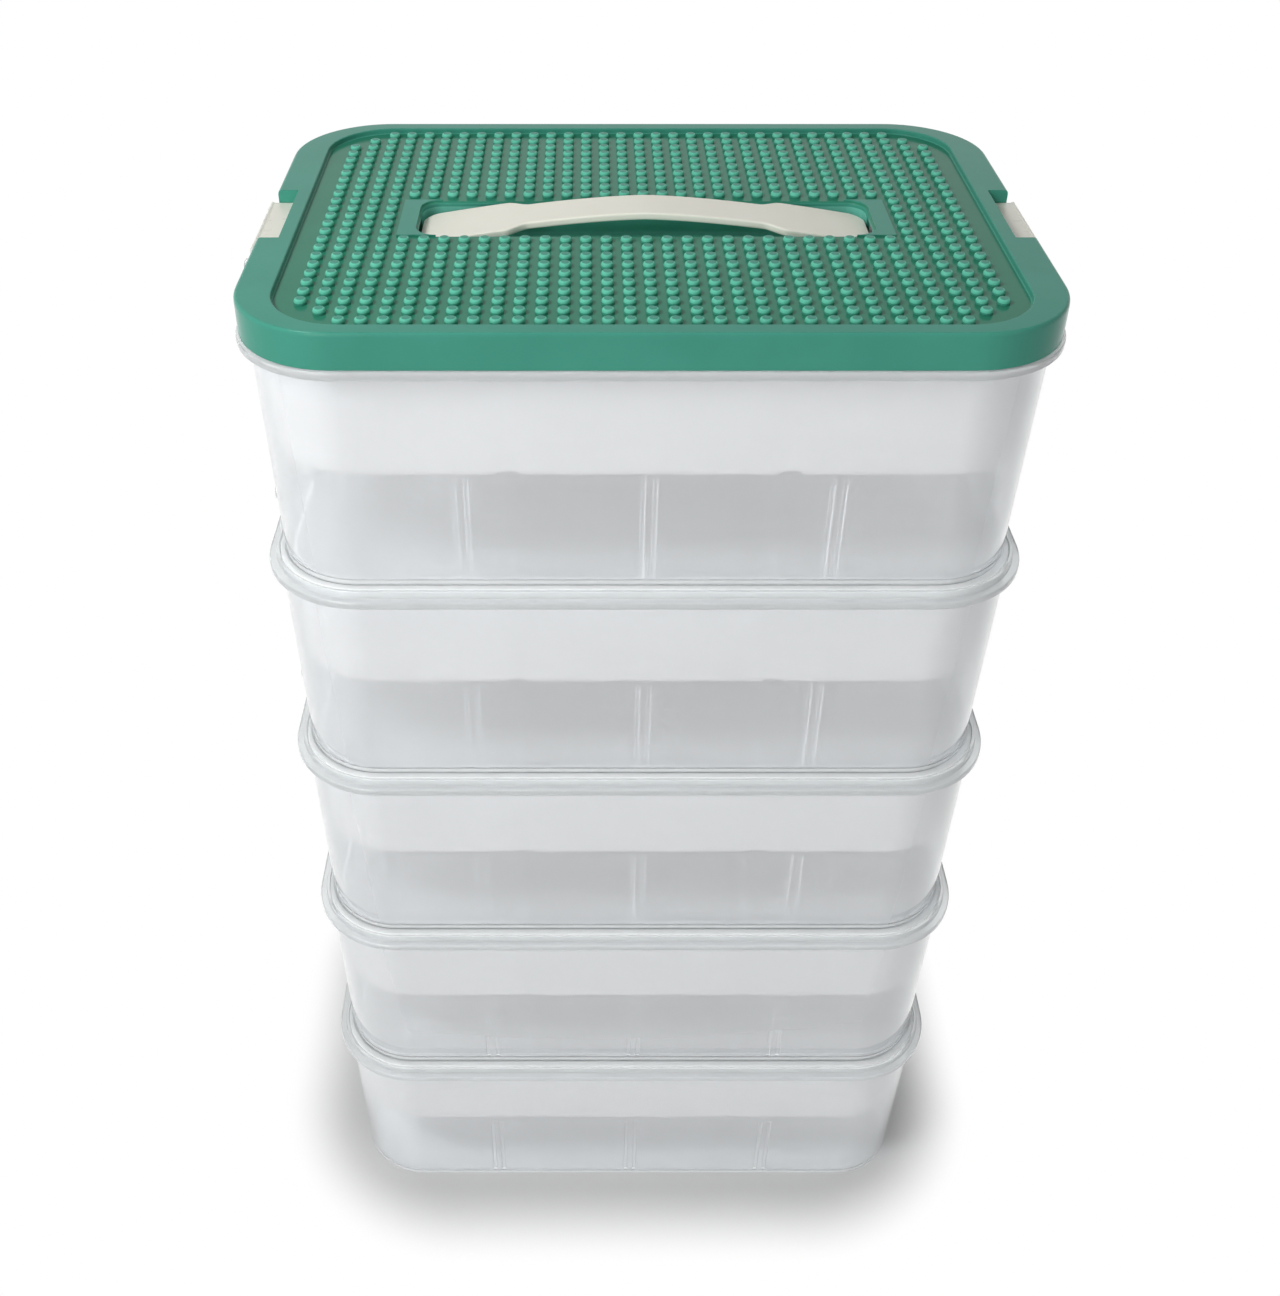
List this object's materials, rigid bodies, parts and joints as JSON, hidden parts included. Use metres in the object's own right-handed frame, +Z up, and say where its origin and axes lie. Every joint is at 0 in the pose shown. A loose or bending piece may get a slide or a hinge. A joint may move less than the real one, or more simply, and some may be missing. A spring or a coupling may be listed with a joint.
{
  "type": "compartment storage box",
  "caption": "Clear boxes stacked in a tower, each with a sorting tray in its top, joined by side latches and closed by a studded lid with a carry handle.",
  "frame": {"origin": "centre of the bottom box's footprint, on the surface it stands on", "axes": "+Z up through the stack, +X along the long side towards the right-hand latches, the front faces -Y"},
  "size_m": [0.3216, 0.22, 0.5235],
  "materials": {
    "clear_box": "clear, polished, moulded",
    "white_tray": "milky white, semi-gloss, moulded",
    "green_lid": "satin, moulded",
    "cream_handle": "satin, moulded",
    "beige_latch": "slightly translucent, semi-gloss, moulded"
  },
  "bodies": {
    "box_1": {"box_1": "clear_box"},
    "box_2": {"box_2": "clear_box"},
    "box_3": {"box_3": "clear_box"},
    "box_4": {"box_4": "clear_box"},
    "box_5": {"box_5": "clear_box"},
    "tray_1": {"tray_1": "white_tray"},
    "tray_2": {"tray_2": "white_tray"},
    "tray_3": {"tray_3": "white_tray"},
    "tray_4": {"tray_4": "white_tray"},
    "tray_5": {"tray_5": "white_tray"},
    "latch_1_left": {"latch_1_left": "beige_latch"},
    "latch_1_right": {"latch_1_right": "beige_latch"},
    "latch_2_left": {"latch_2_left": "beige_latch"},
    "latch_2_right": {"latch_2_right": "beige_latch"},
    "latch_3_left": {"latch_3_left": "beige_latch"},
    "latch_3_right": {"latch_3_right": "beige_latch"},
    "latch_4_left": {"latch_4_left": "beige_latch"},
    "latch_4_right": {"latch_4_right": "beige_latch"},
    "latch_5_left": {"latch_5_left": "beige_latch"},
    "latch_5_right": {"latch_5_right": "beige_latch"},
    "lid": {"lid": "green_lid"},
    "handle": {"handle": "cream_handle"}
  },
  "joints": [
    {"name": "box_2_lift", "type": "slide", "parent": "box_1", "child": "box_2", "axis": [0, 0, 1], "range_m": [0, 0.018]},
    {"name": "tray_1_lift", "type": "slide", "parent": "box_1", "child": "tray_1", "axis": [0, 0, 1], "range_m": [0, 0.008]},
    {"name": "latch_1_left_turn", "type": "hinge", "parent": "box_1", "child": "latch_1_left", "pos_m": [-0.1578, 0, 0.0982], "axis": [0, -1, 0], "range_deg": [0, 109]},
    {"name": "latch_1_right_turn", "type": "hinge", "parent": "box_1", "child": "latch_1_right", "pos_m": [0.1578, 0, 0.0982], "axis": [0, 1, 0], "range_deg": [0, 109]},
    {"name": "box_3_lift", "type": "slide", "parent": "box_2", "child": "box_3", "axis": [0, 0, 1], "range_m": [0, 0.018]},
    {"name": "tray_2_lift", "type": "slide", "parent": "box_2", "child": "tray_2", "axis": [0, 0, 1], "range_m": [0, 0.008]},
    {"name": "latch_2_left_turn", "type": "hinge", "parent": "box_2", "child": "latch_2_left", "pos_m": [-0.1578, 0, 0.1994], "axis": [0, -1, 0], "range_deg": [0, 109]},
    {"name": "latch_2_right_turn", "type": "hinge", "parent": "box_2", "child": "latch_2_right", "pos_m": [0.1578, 0, 0.1994], "axis": [0, 1, 0], "range_deg": [0, 109]},
    {"name": "box_4_lift", "type": "slide", "parent": "box_3", "child": "box_4", "axis": [0, 0, 1], "range_m": [0, 0.018]},
    {"name": "tray_3_lift", "type": "slide", "parent": "box_3", "child": "tray_3", "axis": [0, 0, 1], "range_m": [0, 0.008]},
    {"name": "latch_3_left_turn", "type": "hinge", "parent": "box_3", "child": "latch_3_left", "pos_m": [-0.1578, 0, 0.3006], "axis": [0, -1, 0], "range_deg": [0, 109]},
    {"name": "latch_3_right_turn", "type": "hinge", "parent": "box_3", "child": "latch_3_right", "pos_m": [0.1578, 0, 0.3006], "axis": [0, 1, 0], "range_deg": [0, 109]},
    {"name": "box_5_lift", "type": "slide", "parent": "box_4", "child": "box_5", "axis": [0, 0, 1], "range_m": [0, 0.018]},
    {"name": "tray_4_lift", "type": "slide", "parent": "box_4", "child": "tray_4", "axis": [0, 0, 1], "range_m": [0, 0.008]},
    {"name": "latch_4_left_turn", "type": "hinge", "parent": "box_4", "child": "latch_4_left", "pos_m": [-0.1578, 0, 0.4018], "axis": [0, -1, 0], "range_deg": [0, 109]},
    {"name": "latch_4_right_turn", "type": "hinge", "parent": "box_4", "child": "latch_4_right", "pos_m": [0.1578, 0, 0.4018], "axis": [0, 1, 0], "range_deg": [0, 109]},
    {"name": "lid_lift", "type": "slide", "parent": "box_5", "child": "lid", "axis": [0, 0, 1], "range_m": [0, 0.018]},
    {"name": "tray_5_lift", "type": "slide", "parent": "box_5", "child": "tray_5", "axis": [0, 0, 1], "range_m": [0, 0.008]},
    {"name": "latch_5_left_turn", "type": "hinge", "parent": "box_5", "child": "latch_5_left", "pos_m": [-0.1578, 0, 0.503], "axis": [0, -1, 0], "range_deg": [0, 109]},
    {"name": "latch_5_right_turn", "type": "hinge", "parent": "box_5", "child": "latch_5_right", "pos_m": [0.1578, 0, 0.503], "axis": [0, 1, 0], "range_deg": [0, 109]},
    {"name": "handle_lift", "type": "slide", "parent": "lid", "child": "handle", "axis": [0, 0, 1], "range_m": [0, 0.008]}
  ],
  "couplings": [
    {"joint": "tray_1_lift", "follows": "box_2_lift", "ratio": 0.44},
    {"joint": "latch_1_left_turn", "follows": "box_2_lift", "rad_per_m": 105},
    {"joint": "latch_1_right_turn", "follows": "box_2_lift", "rad_per_m": 105},
    {"joint": "tray_2_lift", "follows": "box_3_lift", "ratio": 0.44},
    {"joint": "latch_2_left_turn", "follows": "box_3_lift", "rad_per_m": 105},
    {"joint": "latch_2_right_turn", "follows": "box_3_lift", "rad_per_m": 105},
    {"joint": "tray_3_lift", "follows": "box_4_lift", "ratio": 0.44},
    {"joint": "latch_3_left_turn", "follows": "box_4_lift", "rad_per_m": 105},
    {"joint": "latch_3_right_turn", "follows": "box_4_lift", "rad_per_m": 105},
    {"joint": "tray_4_lift", "follows": "box_5_lift", "ratio": 0.44},
    {"joint": "latch_4_left_turn", "follows": "box_5_lift", "rad_per_m": 105},
    {"joint": "latch_4_right_turn", "follows": "box_5_lift", "rad_per_m": 105},
    {"joint": "tray_5_lift", "follows": "lid_lift", "ratio": 0.44},
    {"joint": "latch_5_left_turn", "follows": "lid_lift", "rad_per_m": 105},
    {"joint": "latch_5_right_turn", "follows": "lid_lift", "rad_per_m": 105}
  ]
}
